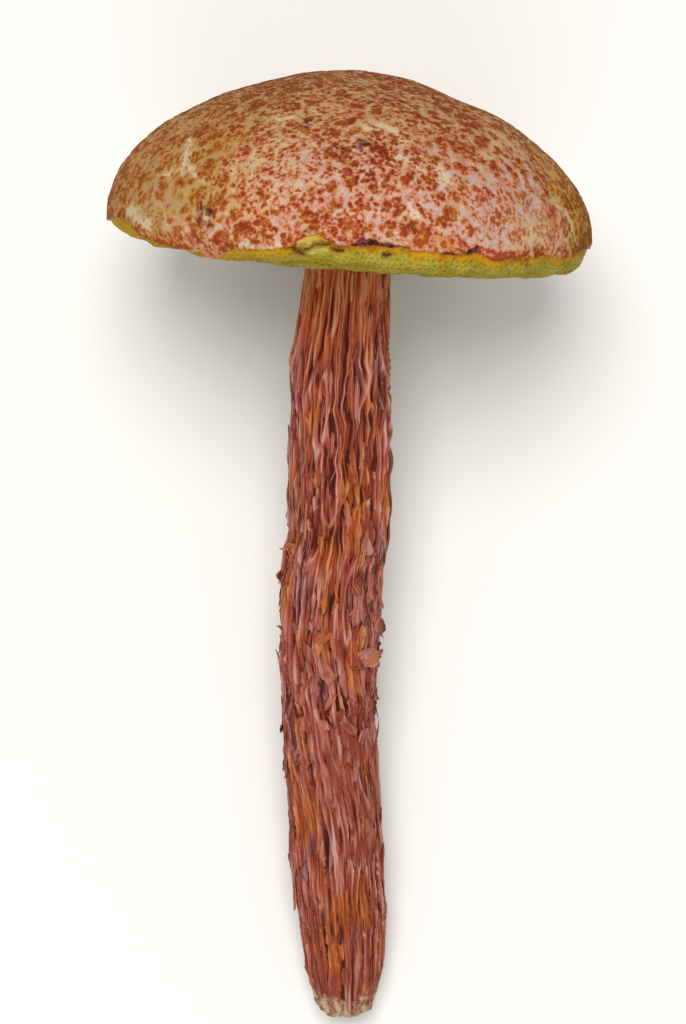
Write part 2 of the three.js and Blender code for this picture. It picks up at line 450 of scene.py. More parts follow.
# --- cap -------------------------------------------------------------------------------------------
def rim_radius(angle):
    waves = 0.25 * np.cos(np.radians(3 * angle + 40)) + 0.15 * np.cos(np.radians(7 * angle))
    waves = waves - RIM_TUCK * hump(angle, 0, 16)
    return CAP_RADIUS + waves + REST_LOBE * sum(hump(angle, at, 9) for at in REST_LOBE_ANGLES)


def skin_edge(angle):
    """How far the skin hangs below the rim plane: a flap at the front left, torn up beside it."""
    ragged = 0.16 * ripple(angle, 24, 70, 3) + 0.14 * ripple(angle, 5, 14, 4)
    ragged += 0.10 * ripple(angle, 110, 240, 5)
    return round_rim(angle, SKIN_DROPS) + 1.2 * hump(angle, LUMP_ANGLE, 2.4) + ragged


def past_rim(angle):
    """How far the skin's edge is past the rim plane, as a share of the way down from the crown."""
    edge = skin_edge(angle)
    return np.sign(edge) * (np.abs(edge) / DOME_HEIGHT) ** (1 / DOME_SWELL) / (math.pi / 2)


def cap_surface(share, angle):
    """Points of the skin, from the crown at share 0 to the rim plane at share 1 and on below it."""
    reach = np.cos(share * math.pi / 2)
    height = DOME_HEIGHT * np.sign(reach) * np.abs(reach) ** DOME_SWELL
    radius = rim_radius(angle) * np.sin(share * math.pi / 2) ** DOME_SLIMNESS
    radius = radius - SKIN_CURL * np.minimum(height, 0) ** 2
    radius = radius - 0.15 * hump(angle, NOTCH_ANGLE, 1.0) * smooth(0.97, 1.03, share)
    x, y = radius * np.cos(np.radians(angle)), radius * np.sin(np.radians(angle))
    dip = np.exp(-((x - SHOULDER_AT) / 5.5) ** 2) * smooth(-14, 4, y) * smooth(36, 22, y)
    return np.column_stack((x, y, height - SHOULDER_DIP * dip))


def on_cap(*places):
    """Points of the skin for pairs of angle and share of the way from the crown to the rim plane."""
    return [cap_surface(np.array([share]), np.array([float(angle)]))[0] for angle, share in places]


def square_to_disc(points):
    """Share of the radius and angle in degrees for a point of the square sheet, with even spacing."""
    x, y = points[:, 0], points[:, 1]
    share = np.maximum(np.abs(x), np.abs(y))
    safe = np.where(share > 0, share, 1)
    angle = np.where(x < 0, 180 - 45 * y / safe, 45 * y / safe)
    upright = np.where(y < 0, 270 + 45 * x / safe, 90 - 45 * x / safe)
    return share, np.where(np.abs(x) >= np.abs(y), angle, upright) % 360


# Strokes on the skin: strength, width, then a path of angles and shares of the way down the dome.
PALE_STROKES = (
    (1, 1.2, (221, 0.68), (225, 0.77), (226, 0.80)),               # fork at the left
    (1, 0.9, (225, 0.78), (229, 0.80), (233, 0.83)),
    (1, 0.7, (225, 0.79), (220, 0.83)),
    (1, 1.4, (274, 0.57), (281, 0.57)),                            # wedge below the crown
    (1, 0.9, (281, 0.57), (283, 0.63)),
    (1, 0.7, (243, 0.56), (249, 0.54)),
    (1, 1.7, (292, 0.72), (292, 0.76)),                            # cream spot
    (1, 0.8, (281, 0.69), (287, 0.74)),
    (1, 0.8, (283, 0.86), (284, 0.92)),
    (1, 0.7, (330, 0.86), (332, 0.96)),                            # strip at the right end
    (1, 1.5, (210, 0.96), (214.5, 0.98), (219, 1.0)),              # lip of the bare margin
    (1, 0.6, (236.5, 0.955), (236.8, 0.96)),
    (1, 0.6, (246, 1.03), (251, 1.03), (255, 1.02)),
    (1, 1.0, (20, 0.60), (33, 0.66), (38, 0.76)),                  # the same habit at the back
    (1, 1.2, (95, 0.5), (110, 0.62), (104, 0.75)),
    (1, 0.9, (150, 0.7), (163, 0.78)),
)
BRUISES = (
    (0.9, 1.1, (234, 0.925), (236, 0.93), (238, 0.945)),           # ring round a grey speck
    (0.8, 0.9, (234.5, 0.96), (236.5, 0.985), (238, 0.98)),
    (0.9, 1.2, (271, 0.63), (271.3, 0.65)),
    (0.7, 1.0, (265, 0.67), (267, 0.685)),
    (0.6, 1.5, (227, 0.41), (233, 0.42)),
    (0.6, 1.3, (254, 0.55), (254.5, 0.58)),
    (0.6, 1.2, (282, 0.93), (284, 0.94)),
    (1.6, 0.9, (271, 1.0), (274, 0.992), (278, 0.995), (281, 1.003)),      # dark tears at the edge
    (1.4, 0.8, (291, 1.005), (293.5, 1.005)),
    (1.4, 0.8, (296.5, 1.0), (298.5, 0.99)),
    (0.5, 1.0, (334, 0.98), (339, 0.965)),
    (0.8, 1.0, (64, 0.8), (68, 0.84)),
)
# Where the scales are denser or sparser: strength, angle, half-width, then the pairs of shares
# between which the zone begins and ends.
DENSE_ZONES = (
    (0.7, 272, 11, (0.5, 0.62), (0.9, 0.75)), (0.7, 250, 14, (0.86, 0.94)), (0.6, 322, 9, (0.75, 0.85)),
    (0.5, 300, 12, (0.68, 0.6)), (0.25, 196, 14), (0.5, 268, 16, (0.84, 0.9)),
    (-0.2, 302, 16, (0.66, 0.76)), (-0.5, 250, 13, (0.6, 0.7), (0.86, 0.78)),
    (0.6, 228, 14, (0.55, 0.6), (0.72, 0.66)), (0.7, 348, 16, (0.6, 0.8)),
    (1.2, 243, 5, (0.965, 0.99)), (1.0, 336, 9, (0.965, 0.985)), (0.4, 215, 30, (0.75, 0.55)),
)


def cap_marks(points, share, angle):
    """The numbers from which the skin's colours and scales are mixed, for each point of the skin."""

    def zone(centre, width, *edges):
        """A soft patch round an angle, which begins and ends between pairs of shares."""
        value = hump(angle, centre, width)
        for low, high in edges:
            value = value * smooth(low, high, share)
        return value

    def zones(*rows):
        return sum(strength * zone(*row) for strength, *row in rows)

    pale = strokes(points, on_cap, PALE_STROKES)
    bruise = strokes(points, on_cap, BRUISES)
    yellow = 0.9 * near_path(points, on_cap((268, 0.72), (269.5, 0.78)), 1.3)
    yellow += near_path(points, on_cap((285, 0.94), (285.5, 1.0)), 1.1)
    yellow += zones((1.3, 341, 15, (0.62, 0.8)), (0.5, 130, 20, (0.8, 0.95)))
    lump = zone(LUMP_ANGLE, 3.2, (0.965, 0.985))
    roll = zones((1, ROLL_ANGLE, 6, (0.975, 0.985)), (0.9, FLAP_ANGLE, 6, (0.975, 1.01)))
    rusty = strokes(points, on_cap, (
        (1, 2.8, (284, 0.975), (292, 0.985)),
        (0.8, 2.6, (321, 0.86), (324, 0.93)),
    ))
    rusty = np.max([rusty, 0.9 * zone(FLAP_ANGLE, 6, (0.95, 0.98)), 1.4 * lump, 1.4 * roll], axis=0)
    ochre = zones((1, 203, 29), (0.9, 345, 20), (0.5, 120, 40), (0.6, 232, 12, (0.95, 0.85)))
    rosy = smooth(240, 262, angle) * smooth(332, 316, angle) * smooth(0.5, 0.75, share)
    rosy += zones((1, 240, 11, (0.88, 0.94)), (0.6, 60, 40), (-0.8, 318, 13, (0.84, 0.92)))
    faded = lump + zones(
        (0.5, 222, 10, (0.78, 0.86), (0.99, 0.95)),
        (0.8, 315, 12, (0.76, 0.86), (0.985, 0.965)),
    )
    dense = 0.6 * smooth(0.62, 0.2, share) + zones(*DENSE_ZONES)
    dense += 3.0 * roll - 2.0 * lump + 0.7 * rusty - 1.0 * faded
    maroon = zone(273, 13, (0.58, 0.66), (0.97, 0.8))
    broad = zones(
        (1, 312, 26, (0.3, 0.42), (0.86, 0.78)), (1, 222, 16, (0.75, 0.8)), (-1, 256, 10, (0.6, 0.7)),
    )
    shares = {"yellow": yellow, "orange": rusty, "ochre": ochre, "rosy": rosy, "faded": faded}
    shares = {name: np.clip(values, 0, 1) for name, values in shares.items()}
    return {"pale": pale, "bruise": bruise, "maroon": maroon, "dense": dense, "broad": broad, **shares}


def cap_scales(nodes):
    """How deep inside a red-brown scale a point is: below 0 on the pale ground, up to 0.4 on a scale."""
    grown = nodes.field("grown", vector=True)
    patch = nodes.cells(nodes.warped(grown, 2.6, 0.75), PATCH_SIZE)
    torn = nodes.warped(nodes.warped(grown, 1.4, 0.4), 0.5, 0.12)
    fine = nodes.cells(torn, FRAGMENT_SIZE, "SMOOTH_F1")
    coarse = nodes.cells(torn, 1.8 * FRAGMENT_SIZE, "SMOOTH_F1")
    broad = nodes.sum(nodes.noise(nodes.shifted(grown, (5, 5, 5)), 9.0, 1.0), (nodes.field("broad"), 0.12))
    coarser = nodes.math("SUBTRACT", coarse, fine)
    middle = nodes.sum(fine, (coarser, nodes.step(broad, 0.52, 0.62)))
    return nodes.sum(SCALE_LEVEL, (middle, -0.9), (nodes.step(patch, 0.0, 0.22, 0.27, 0.0), -1.0),
                     (nodes.uneven(grown, 0.62, 1.5, 0.45), 0.8),
                     (nodes.uneven(grown, 6.0, 1.0), 0.5),
                     (nodes.field("dense"), 0.13), (nodes.field("pale"), -0.3))


def cap_relief():
    nodes, flow, end = new_group("CapRelief")
    grown = nodes.field("grown", vector=True)
    rise = nodes.sum(
        (nodes.step(cap_scales(nodes), -0.05, 0.06), SCALE_RISE),
        (nodes.uneven(grown, 16.0), 1.6),
        (nodes.uneven(grown, 3.2), 0.35),
    )
    offset = nodes.add("ShaderNodeVectorMath", {0: nodes.add("GeometryNodeInputNormal").outputs[0]},
                       operation="SCALE")
    nodes.feed(offset.inputs["Scale"], nodes.times(rise, nodes.field("skin")))
    place = nodes.add("GeometryNodeSetPosition")
    nodes.feed(place.inputs["Geometry"], flow)
    nodes.feed(place.inputs["Offset"], offset.outputs[0])
    nodes.feed(end, place.outputs[0])
    return nodes


def grow_cap():
    deselect()
    bpy.ops.mesh.primitive_grid_add(x_subdivisions=CAP_GRID, y_subdivisions=CAP_GRID, size=2)
    cap = bpy.context.object
    share, angle = square_to_disc(points_of(cap))
    skin = cap_surface(share * (1 + past_rim(angle)), angle)
    move_points(cap, skin)
    edit(cap)
    bpy.ops.mesh.region_to_loop()
    for inward, rise in UNDERCUT:
        factor = 1 - inward / CAP_RADIUS
        bpy.ops.mesh.extrude_region_move(TRANSFORM_OT_translate={"value": (0, 0, rise)})
        bpy.ops.transform.resize(value=(factor, factor, 1), center_override=(0, 0, 0))
    bpy.ops.mesh.edge_face_add()
    close_piece()
    points = points_of(cap)
    under = len(points) - len(share)
    remember(cap, "grown", points)
    # the scales stand up less at the skin's edge, and not at all below it
    remember(cap, "skin", np.append(smooth(1.0, 0.985, share) * 0.8 + 0.2, np.zeros(under)))
    for name, values in cap_marks(skin, share, angle).items():
        remember(cap, name, np.append(values, np.zeros(under)))
    apply_modifier(cap, "NODES", node_group=cap_relief().tree)
    lay_down(cap, HEAD_LIES)
    finish_piece(cap, "cap_skin", "cap_skin", cap_material(), "cap")


def cap_material():
    material, nodes, shader = new_material("scaly cap skin")
    grown = nodes.field("grown", vector=True)
    depth = cap_scales(nodes)
    scale = nodes.step(depth, -0.07, 0.05)
    halo = nodes.step(depth, -0.40, -0.06, 0.0, 0.9)
    core = nodes.step(depth, 0.04, 0.30)
    ragged = nodes.uneven(grown, 5.0, 3.0)

    def patch(name, spread, low, high):
        """The share of a patch that cap_marks() has placed, with a ragged edge."""
        return nodes.step(nodes.sum(nodes.field(name), (ragged, spread)), low, high)

    ochre, yellow = patch("ochre", 1.4, 0.2, 0.8), patch("yellow", 2.2, 0.3, 1.0)
    orange, rosy = patch("orange", 1.6, 0.3, 0.9), patch("rosy", 2.6, 0.3, 0.8)
    maroon = nodes.times(nodes.field("maroon"), 0.7)
    crown = nodes.step(nodes.add("ShaderNodeSeparateXYZ", {0: grown}).outputs[2], 12.0, 30.0, 0.0, 0.75)
    tint = nodes.step(nodes.noise(nodes.shifted(grown, (3, 8, 2)), 1.8, 2.0), 0.38, 0.62)
    ground = nodes.mix(nodes.step(nodes.noise(grown, 2.6, 2.0), 0.40, 0.62), "BC9870", "C4A67E")
    ground = nodes.coats(
        ground,
        (rosy, nodes.mix(tint, "BA9484", "BEA094")),
        (ochre, "AC8C5A"),
        (crown, "B08A5C"),
        (nodes.times(yellow, 0.85), "C08C24"),
        (nodes.times(nodes.field("pale"), 0.75), "CCB896"),
    )
    # the salmon skin round the scales, then the scales from their edge to their middle
    warm = nodes.coats(nodes.mix(tint, "B87254", "B87C4A"), (ochre, "AC6C2A"), (yellow, "A4640E"))
    bright = nodes.coats(nodes.mix(tint, "A65230", "A65A24"),
                         (ochre, "9C581C"), (nodes.times(yellow, 0.9), "864A04"), (maroon, "983C28"))
    deep = nodes.coats(nodes.mix(tint, "7E2C14", "84400F"), (ochre, "7A3C10"), (maroon, "6E2014"))
    rusty = nodes.mix(scale, nodes.mix(tint, "BC7248", "BA703A"), nodes.mix(tint, "964024", "984A14"))
    blot = nodes.uneven(grown, 0.9, 2.0)
    bruise = nodes.step(nodes.sum(nodes.field("bruise"), (blot, 1.6)), 0.2, 1.1, 0.0, 0.95)
    colour = nodes.coats(
        ground,
        (halo, nodes.mix(crown, warm, "A0642E")),
        (scale, nodes.mix(nodes.times(crown, 0.5), nodes.mix(core, bright, deep), "6A2E14")),
        (nodes.times(nodes.field("faded"), 0.6), nodes.mix(scale, ground, warm)),
        (nodes.times(orange, 0.8), rusty),
        (bruise, nodes.mix(scale, "5C2020", "2C080A")),
    )
    shade = nodes.add("ShaderNodeVectorMath", {0: colour}, operation="SCALE")
    nodes.feed(shade.inputs["Scale"], nodes.step(nodes.noise(grown, 0.35, 2.0), 0.35, 0.65, 0.91, 1.08))
    roughness = nodes.step(scale, 0.0, 1.0, 0.65, 0.85)
    fine = nodes.sum((scale, 0.6), (nodes.noise(grown, 0.28, 3.0), 0.5))
    finish_material(nodes, shader, shade.outputs[0], roughness, 0.12, fine, 0.5, 0.0002)
    return material


# --- pore layer ------------------------------------------------------------------------------------
def pore_profile(angle):
    """Radius and height of the pore surface for one angle, from the stem to the skin's edge."""
    rim = float(rim_radius(angle))
    top = 0.5 - min(float(skin_edge(angle)), 5.0)
    rim -= SKIN_CURL * min(top, 0) ** 2
    bottom = min(float(round_rim(angle, BAND_EDGES)) + 0.12 * float(ripple(angle, 9, 22, 8)), top - 0.8)
    radius = [HOLE_RADIUS, HOLE_RADIUS + 1.0, 16, 24, 33, 40]
    depth = TUBE_DEPTH - SHALLOW_BY * float(hump(angle, SHALLOW_ANGLE, 11))
    height = [1.0, -TUBE_COLLAR, -3.4, 0.2 - TUBE_DEPTH, -0.5 * (TUBE_DEPTH + depth), 0.1 - depth]
    for turn in np.linspace(0, math.pi / 2, 7):
        radius.append(rim - 0.55 - BAND_WIDTH * (1 - math.sin(turn)))
        height.append(top + (bottom - top) * math.cos(turn))
    return np.array(radius), np.array(height)


def pore_curves(samples=96):
    """Evenly spaced points along the profile for every degree, and the mean length."""
    curves, lengths = [], []
    for angle in np.arange(360.0):
        radius, height = pore_profile(angle)
        run = np.concatenate(([0], np.cumsum(np.hypot(np.diff(radius), np.diff(height)))))
        even = np.linspace(0, run[-1], samples)
        curves.append(np.column_stack((np.interp(even, run, radius), np.interp(even, run, height))))
        lengths.append(run[-1])
    return np.array(curves), float(np.mean(lengths))


def pore_seeds(curves, length):
    """One jittered point for each pore on the unrolled sheet."""
    chance = random.Random(11)
    rings = int(length / (PORE_SPACING * 0.87))
    seeds = []
    for ring in range(rings + 1):
        share = ring / rings
        reach = HOLE_RADIUS + length * share
        real = np.interp(share, np.linspace(0, 1, curves.shape[1]), curves[0, :, 0])
        count = int(2 * math.pi * real / PORE_SPACING)
        start = chance.random()
        loose = 0 if ring in (0, rings) else 0.27
        for index in range(count):
            angle = 2 * math.pi * (index + start + chance.uniform(-loose, loose)) / count
            place = reach + chance.uniform(-loose, loose) * PORE_SPACING
            seeds.append(Vector((place * math.cos(angle), place * math.sin(angle))))
    return seeds


def on_profile(curves, share, angle):
    """Place and outward normal on the pore surface."""
    count, samples, _ = curves.shape
    column = angle / 360 * count
    left = np.floor(column).astype(int) % count
    blend = (column - np.floor(column))[:, None]
    low = np.clip(np.floor(share * (samples - 1)).astype(int), 0, samples - 2)
    rise = (share * (samples - 1) - low)[:, None]

    def at(index):
        return curves[left, index] * (1 - blend) + curves[(left + 1) % count, index] * blend

    section = at(low) * (1 - rise) + at(low + 1) * rise
    along = at(low + 1) - at(low)
    along /= np.maximum(np.linalg.norm(along, axis=1, keepdims=True), 1e-9)
    outward = np.column_stack((along[:, 1], -along[:, 0]))
    round_x, round_y = np.cos(np.radians(angle)), np.sin(np.radians(angle))
    place = np.column_stack((section[:, 0] * round_x, section[:, 0] * round_y, section[:, 1]))
    normal = np.column_stack((outward[:, 0] * round_x, outward[:, 0] * round_y, outward[:, 1]))
    return place, normal


def on_band(*places):
    """Points of the unrolled band for pairs of angle and height."""
    return [np.array([math.radians(angle) * CAP_RADIUS, height, 0.0]) for angle, height in places]


def bared_margin(place, share, angle):
    """1 on the bright margin that the skin leaves bare at the left, and 0 elsewhere."""
    seen = smooth(252, 238, angle) * smooth(176, 186, angle) * smooth(0.8, 0.86, share)
    inner = smooth(0.63, 0.72, share + 0.04 * swell(place, 6.0, 21))
    under = smooth(234, 228, angle) * smooth(176, 186, angle) * inner
    upper = smooth(270, 258, angle) * smooth(230, 240, angle) * smooth(0.91, 0.95, share)
    return np.max([seen, under, 0.7 * upper], axis=0)


def open_pores(sheet, inner, outer, wall, slope, depth):
    """Sinks a pit into each face between two radii of the flat sheet."""
    middle = middles_of(sheet)
    area = np.array([face.area for face in sheet.data.polygons])
    reach = np.hypot(middle[:, 0], middle[:, 1]) + 0.7 * swell(middle, 5.0, 14)
    whole = (np.abs(middle[:, 2]) < 0.001) & (area > 0.5 * PORE_SPACING ** 2)
    edit_faces(sheet, (reach >= inner) & (reach < outer) & whole)
    bpy.ops.mesh.inset(use_individual=True, thickness=wall, use_boundary=True)
    bpy.ops.mesh.inset(use_individual=True, thickness=slope, depth=-depth)
    bpy.ops.object.mode_set(mode="OBJECT")


def grow_pore_layer():
    curves, length = pore_curves()
    verts, _, faces, *_ = delaunay_2d_cdt(pore_seeds(curves, length), [], [], 0, 0.001)
    middle = [sum((verts[i] for i in face), Vector((0, 0))) / 3 for face in faces]
    faces = [face for face, at in zip(faces, middle) if at.length > HOLE_RADIUS * 0.985]
    sheet = new_piece([(v.x, v.y, 0) for v in verts], faces)
    nodes, flow, end = new_group("PoresFromPoints")
    swap = nodes.add("GeometryNodeDualMesh", {"Mesh": flow, "Keep Boundaries": True})
    nodes.feed(end, swap.outputs[0])
    apply_modifier(sheet, "NODES", node_group=nodes.tree)

    # the pores get shallower and their walls thicker where the tubes bend round to the margin
    bend, side_on, margin = (HOLE_RADIUS + length * share for share in (0.80, BAND_SHARE, 0.975))
    open_pores(sheet, HOLE_RADIUS, bend, 0.13, 0.12, PORE_PIT)
    open_pores(sheet, bend, side_on, 0.17, 0.11, 0.6 * PORE_PIT)
    open_pores(sheet, side_on, margin, 0.23, 0.10, 0.18 * PORE_PIT)
    edit(sheet)
    bpy.ops.mesh.region_to_loop()
    bpy.ops.mesh.extrude_region_move(TRANSFORM_OT_translate={"value": (0, 0, -2.0 * PORE_PIT)})
    bpy.ops.mesh.fill()
    close_piece()

    flat = points_of(sheet)
    share = np.clip((np.hypot(flat[:, 0], flat[:, 1]) - HOLE_RADIUS) / length, 0, 1)
    angle = np.degrees(np.arctan2(flat[:, 1], flat[:, 0])) % 360
    depth = flat[:, 2]
    place, normal = on_profile(curves, share, angle)
    lumps = 0.30 * swell(place, 7.0, 5) + 0.12 * swell(place, 1.9, 6)
    torn = hump(angle, 261.5, 4.5) * smooth(0.90, 0.95, share) * (0.9 + swell(place, 1.3, 9))
    band = np.column_stack((np.radians(angle) * CAP_RADIUS, place[:, 2], np.zeros(len(place))))
    band[share < 0.75] = 0
    creased = 0.6 * near_path(band, on_band(*CREASE), 0.5)
    lumps = lumps * smooth(0, 0.03, share) * smooth(1, 0.97, share) + np.maximum(torn, 0) - creased
    move_points(sheet, place + normal * (depth + lumps)[:, None])
    marks = {
        "grown": place,
        "margin": share,
        # how deep in a pore a point lies; the material darkens by it, painted shade in the pores
        "pit": np.clip(-depth / PORE_PIT, 0, 1),
        "torn": strokes(band, on_band, PALE_TEARS),
        "stain": strokes(band, on_band, STAINS),
        "bright": bared_margin(place, share, angle),
    }
    for name, values in marks.items():
        remember(sheet, name, values)
    lay_down(sheet, HEAD_LIES)
    finish_piece(sheet, "pore_sponge", "pores", pore_material(), "pore_layer")


def pore_material():
    material, nodes, shader = new_material("pore sponge")
    grown = nodes.field("grown", vector=True)
    margin = nodes.field("margin")
    ragged = nodes.uneven(grown, 3.0, 3.0)
    bright = nodes.field("bright")
    olive = nodes.mix(nodes.step(nodes.noise(grown, 4.0, 2.0), 0.38, 0.62), "948418", "A69634")
    specks = nodes.step(nodes.noise(grown, 0.45, 2.0), 0.56, 0.68, 0.0, 0.55)
    golden = nodes.mix(nodes.step(nodes.noise(grown, 1.6, 2.0), 0.44, 0.62), "BA8606", "A46608")
    upper = nodes.step(nodes.sum(margin, (ragged, 0.09)), 0.94, 0.97)
    # a brown line by the lower edge, here and there: painted shade where the band turns under
    lower = nodes.math("ABSOLUTE", nodes.math("SUBTRACT", nodes.sum(margin, (ragged, 0.02)), 0.885))
    here = nodes.step(nodes.noise(grown, 9.0, 2.0), 0.42, 0.6)
    colour = nodes.coats(
        nodes.mix(specks, olive, "6A5614"),
        (nodes.math("MAXIMUM", upper, nodes.times(bright, 0.9)), nodes.mix(bright, golden, "B88E00")),
        (nodes.times(nodes.step(lower, 0.0, 0.02, 0.5, 0.0), here), "8E5A14"),
        (nodes.times(nodes.field("torn"), 0.7), "CDBB62"),
        # painted shade down in the pores
        (nodes.times(nodes.field("pit"), 0.8), "5E4E0C"),
        (nodes.times(nodes.field("stain"), 0.85), "4A260C"),
    )
    ribs = nodes.noise(nodes.scaled(grown, (1, 1, 0.25)), 0.5)
    fine = nodes.sum((nodes.noise(grown, 0.35, 3.0), 1.0), (ribs, 1.0))
    finish_material(nodes, shader, colour, 0.65, 0.15, fine, 0.6, 0.0004)
    return material


# --- stem ------------------------------------------------------------------------------------------
def stem_line(height):
    """Sideways offset and core radius of the stem at a height."""
    heights, offsets, radii = (np.array(column) for column in zip(*STEM_STATIONS))
    grid = np.linspace(heights[0], heights[-1], 400)
    kernel = np.hanning(31) / np.hanning(31).sum()
    offset = np.convolve(np.pad(np.interp(grid, heights, offsets), 15, mode="edge"), kernel, mode="valid")
    return np.interp(height, grid, offset), np.interp(height, heights, radii)


def twist(height):
    """Degrees by which the fibres have turned round the stem at a height."""
    grid = np.linspace(RIM_HEIGHT, -2, 300)
    begins, full, less, ends = SLANT
    rate = TWIST_RATE * smooth(ends, less, grid) * smooth(begins, full, grid)
    total = np.cumsum(rate) * (grid[0] - grid[1])
    return np.interp(height, grid[::-1], total[::-1])


def stem_place(angle, height, raised):
    """A point on the stem, raised above its core."""
    offset, radius = stem_line(height)
    reach = radius + raised
    x = reach * np.cos(np.radians(angle))
    y = reach * np.sin(np.radians(angle))
    share = smooth(RIM_HEIGHT - LEANING_TOP, RIM_HEIGHT, height)
    z = height - share * math.tan(math.radians(CAP_TILT)) * x
    return np.column_stack((x + offset, y, z))


def fibre_place(around, height):
    """Coordinates in which the fibres run straight along the third axis."""
    turn = 2 * math.pi * around / STEM_GIRTH
    radius = STEM_GIRTH / (2 * math.pi)
    return np.column_stack((radius * np.cos(turn), radius * np.sin(turn), height))


class Bark:
    """The shaggy surface as a sheet of heights: rows go up the stem and columns round it.

    The columns follow the fibres, so they slant where the fibres do.
    """

    def __init__(self):
        low, high = STEM_STATIONS[0][0], STEM_STATIONS[-1][0]
        share = np.linspace(0, 1, STEM_RINGS + 1)
        self.height = low + (high - low) * share ** 1.04
        self.around = np.arange(STEM_AROUND) * STEM_GIRTH / STEM_AROUND
        self.raised = np.zeros((STEM_RINGS + 1, STEM_AROUND))
        self.tint = np.full(self.raised.shape, 0.5)
        self.bare = np.zeros(self.raised.shape)
        self.chance = np.random.default_rng(21)

    def blurred(self, values, across, along):
        """The sheet with all that is narrower and shorter than the given sizes smoothed away."""
        tall = self.height[-1] - self.height[0]
        rows = np.fft.fftfreq(values.shape[0], tall / values.shape[0])[:, None]
        columns = np.fft.fftfreq(values.shape[1], STEM_GIRTH / values.shape[1])[None, :]
        keep = np.exp(-((rows * along) ** 2 + (columns * across) ** 2) * 2.2)
        return np.fft.ifft2(np.fft.fft2(values) * keep).real

    def streaks(self, across, along, seed):
        """Noise with spots of the given width and length, about -2 to 2."""
        soft = self.blurred(np.random.default_rng(seed).normal(size=self.raised.shape), across, along)
        return soft / soft.std()

    def away(self, around):
        """How far each column is from a place round the stem, to the left or the right."""
        return (self.around - around + STEM_GIRTH / 2) % STEM_GIRTH - STEM_GIRTH / 2

    def zone(self, low, high, soft=8.0):
        """1 between two heights and 0 beyond, as a column."""
        rise = smooth(low - soft, low + soft, self.height)
        return (rise * smooth(high + soft, high - soft, self.height))[:, None]

    def patches(self, places):
        """1 in the middle of soft patches, front and back, and 0 between them."""
        total = np.zeros(self.raised.shape)
        for angle, height, width, length in places:
            for turn in (0, BACK_TURN):
                away = self.away((angle + turn - twist(height)) / 360 * STEM_GIRTH)
                tall = np.exp(-((self.height - height) / length) ** 2)[:, None]
                total = np.maximum(total, tall * np.exp(-(away / width) ** 2))
        return total

    def ridge_net(self):
        """Thin raised walls that part and meet, and leave long hollows between them."""
        net = np.zeros(self.raised.shape)
        for seed, across, along, width, rise in (
            (1, 2.2, 50, 0.24, 1.0), (2, 1.7, 34, 0.22, 0.8),
            (3, 3.0, 22, 0.17, 1.0), (4, 1.2, 18, 0.24, 0.6),
        ):
            wall = rise * np.exp(-(self.streaks(across, along, seed) / width) ** 2)
            net = np.maximum(net, wall * smooth(-1.5, 0.2, self.streaks(5, 18, seed + 40)))
        return net

    def strip(self, around, height, length, width, level, lift, tint):
        """Lays one torn strip of skin on the sheet, frayed at both ends and lifted at one of them."""
        rows = np.where(np.abs(self.height - height) < length)[0]
        away = self.away(around)
        columns = np.where(np.abs(away) < width * 1.6)[0]
        if not len(rows) or not len(columns):
            return
        along = ((self.height[rows] - height) / length)[:, None]
        wander = width * 0.5 * np.sin(along * 3 + around)
        across = (away[columns][None, :] - wander) / width
        rough = 0.16 * np.sin(along * length * 1.1 + around * 7)
        rough = rough + 0.08 * np.sin(along * length * 2.7 + height)
        fray = self.chance.uniform(0, 0.55, (2, len(columns)))
        fray = (fray + np.roll(fray, 1, axis=1)) / 2
        reach = np.clip(1 - np.abs(along) ** 4, 0, 1) ** 0.4 * (1 + rough)
        inside = (np.abs(across) < reach) & (np.abs(along) < 1 - np.where(along > 0, fray[0], fray[1]))
        top = level + abs(lift) * np.clip(along * np.sign(lift), 0, 1) ** 1.5 + 0.18 * across ** 2
        patch = np.ix_(rows, columns)
        covers = inside & (top > self.raised[patch] - 0.1)
        self.raised[patch] = np.where(covers, top, self.raised[patch])
        self.tint[patch] = np.where(covers, tint, self.tint[patch])

    def strips(self, count, low, high, length, width, level, lift):
        """Strips between two heights, with sizes drawn between pairs of limits."""
        chance = self.chance
        for _ in range(count):
            around, height = chance.uniform(0, STEM_GIRTH), chance.uniform(low, high)
            sizes = [chance.uniform(*limits) for limits in (length, width, level)]
            lifted = chance.uniform(*lift) * chance.choice((-1, 1))
            self.strip(around, height, *sizes, lifted, chance.uniform(0, 1))

    def grow(self):
        self.raised += self.ridge_net() * (0.3 + 0.7 * self.zone(24, 160) + 0.5 * self.zone(98, 146))
        self.raised += 0.2 * self.streaks(1.4, 18, 6)
        self.raised += 0.3 * self.streaks(4.0, 7, 11) * self.zone(52, 112)
        # how many, their lowest and highest place, and the limits of length, width, level and lift
        self.strips(55, 100, 166, (7, 16), (0.3, 0.8), (0.2, 0.6), (0.0, 0.3))
        self.strips(50, 54, 112, (4, 9), (0.9, 1.9), (0.2, 0.6), (0.1, 0.6))
        self.strips(90, 54, 112, (3, 10), (0.3, 0.8), (0.3, 0.9), (0.1, 0.5))
        self.strips(100, 18, 62, (6, 15), (0.4, 1.1), (0.2, 0.6), (0.0, 0.3))
        self.strips(80, 0, 30, (4, 9), (0.3, 0.8), (0.1, 0.4), (0.0, 0.3))
        self.raised += 0.28 * self.streaks(9, 22, 7) * self.zone(25, 150, 15)
        fine = self.streaks(0.6, 9, 8)
        self.raised += 0.09 * fine
        # the colour level: low in the hollows and high on the crests, painted shade and painted highlight;
        # a little lower from 98 to 150 mm up
        deep = self.raised - self.blurred(self.raised, 2.4, 7)
        shaggy = self.zone(52, 112)
        level = 0.5 + 0.03 * shaggy - 0.08 * self.zone(98, 150)
        self.lift = np.clip(level + deep * (0.85 - 0.15 * shaggy) + 0.06 * fine, 0, 1)
        self.hue = self.patches(AMBER_PATCHES) - self.patches(MAUVE_PATCHES)
        # no saw teeth along the outline
        self.raised = self.blurred(self.raised, 0, 1.0)
        self.raised *= (smooth(-1.5, 7, self.height) * smooth(166, 160, self.height))[:, None]


